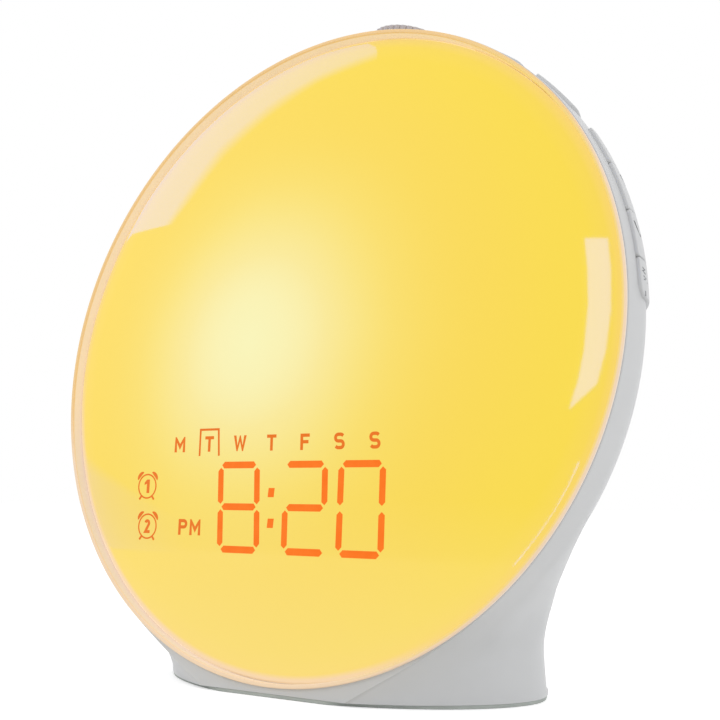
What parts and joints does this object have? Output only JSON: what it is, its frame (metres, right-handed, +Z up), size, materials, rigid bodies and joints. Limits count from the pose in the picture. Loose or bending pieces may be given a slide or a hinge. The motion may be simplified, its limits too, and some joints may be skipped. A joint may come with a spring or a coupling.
{
  "type": "sunrise alarm clock",
  "caption": "Leaning round wake-up light with a milky domed lens over a lit clock display, on a one-piece housing and oval foot, with a push-and-turn knob and side keys.",
  "frame": {"origin": "on the table under the middle of the oval foot", "axes": "+Z up, the lit face looks towards -Y and leans back, +X is the viewer's right, where the keys are"},
  "size_m": [0.1696, 0.0672, 0.1707],
  "materials": {
    "lens": "emissive milky satin",
    "ring": "translucent gloss",
    "shell": "fine satin",
    "keys": "satin",
    "white_plastic": "white gloss",
    "foam": "closed-cell foam",
    "board": "green solder mask",
    "warm_light": "emissive",
    "colour_light": "emissive",
    "display_light": "emissive",
    "black_plastic": "moulded",
    "steel": "zinc plated",
    "brass": "plated",
    "magnet": "ferrite",
    "paper_cone": "coated",
    "grille": "satin",
    "knob": "satin, ribbed side",
    "shaft": "turned",
    "base": "moulded",
    "pad": "soft",
    "lead_red": "sleeve",
    "lead_white": "sleeve",
    "lead_yellow": "sleeve",
    "lead_black": "sleeve"
  },
  "bodies": {
    "clock": {"front_lens": "lens", "lens_ring": "ring", "lens_gasket": "foam", "reflector": "white_plastic", "led_board": "board", "warm_leds": "warm_light", "colour_leds": "colour_light", "reflector_screws": "steel", "display_housing": "white_plastic", "display_segments": "display_light", "display_board": "board", "display_header": "black_plastic", "rear_housing": "shell", "speaker_grille": "grille", "speaker_frame": "steel", "speaker_magnet": "magnet", "speaker_cone": "paper_cone", "speaker_gasket": "foam", "speaker_screws": "steel", "speaker_lead": "lead_red", "main_board": "board", "main_chips": "black_plastic", "capacitors": "steel", "board_screws": "steel", "led_lead": "lead_white", "key_board": "board", "tact_switches": "black_plastic", "key_screws": "steel", "key_lead": "lead_white", "encoder_body": "black_plastic", "encoder_nut": "steel", "encoder_lead": "lead_yellow", "dc_jack": "black_plastic", "jack_pin": "brass", "jack_nut": "steel", "jack_lead": "lead_black", "base_plate": "base", "base_screws": "steel", "base_pad": "pad", "coin_cell": "steel", "battery_contacts": "brass", "battery_lead": "lead_red"},
    "knob_body": {"knob": "knob", "encoder_shaft": "shaft"},
    "rotor": {"encoder_rotor": "white_plastic"},
    "door": {"battery_door": "base"},
    "key_1": {"side_key_1": "keys", "key_plunger_1": "black_plastic"},
    "key_2": {"side_key_2": "keys", "key_plunger_2": "black_plastic"},
    "key_3": {"side_key_3": "keys", "key_plunger_3": "black_plastic"},
    "key_4": {"side_key_4": "keys", "key_plunger_4": "black_plastic"},
    "key_5": {"side_key_5": "keys", "key_plunger_5": "black_plastic"},
    "key_6": {"side_key_6": "keys", "key_plunger_6": "black_plastic"}
  },
  "joints": [
    {"name": "knob_turn", "type": "hinge", "parent": "clock", "child": "rotor", "pos_m": [0, -0.00717, 0.08318], "axis": [0.1478, 0.1547, 0.9768], "continuous": true},
    {"name": "knob_push", "type": "slide", "parent": "rotor", "child": "knob_body", "axis": [-0.1478, -0.1547, -0.9768], "range_m": [0, 0.0005], "stiffness_N_per_m": 1500, "springref_m": -0.001},
    {"name": "key_1_push", "type": "slide", "parent": "clock", "child": "key_1", "axis": [-0.5255, -0.1331, -0.8403], "range_m": [0, 0.0005], "stiffness_N_per_m": 1200, "springref_m": -0.001},
    {"name": "key_2_push", "type": "slide", "parent": "clock", "child": "key_2", "axis": [-0.7169, -0.1091, -0.6886], "range_m": [0, 0.0005], "stiffness_N_per_m": 1200, "springref_m": -0.001},
    {"name": "key_3_push", "type": "slide", "parent": "clock", "child": "key_3", "axis": [-0.8636, -0.0789, -0.4979], "range_m": [0, 0.0005], "stiffness_N_per_m": 1200, "springref_m": -0.001},
    {"name": "key_4_push", "type": "slide", "parent": "clock", "child": "key_4", "axis": [-0.9254, -0.0593, -0.3744], "range_m": [0, 0.0005], "stiffness_N_per_m": 1200, "springref_m": -0.001},
    {"name": "key_5_push", "type": "slide", "parent": "clock", "child": "key_5", "axis": [-0.9702, -0.0379, -0.2394], "range_m": [0, 0.0005], "stiffness_N_per_m": 1200, "springref_m": -0.001},
    {"name": "key_6_push", "type": "slide", "parent": "clock", "child": "key_6", "axis": [-0.9935, -0.0178, -0.1127], "range_m": [0, 0.0005], "stiffness_N_per_m": 1200, "springref_m": -0.001},
    {"name": "door_turn", "type": "hinge", "parent": "clock", "child": "door", "pos_m": [-0.022, -0.002, 0], "axis": [0, 0, 1], "range_deg": [0, 45]}
  ]
}
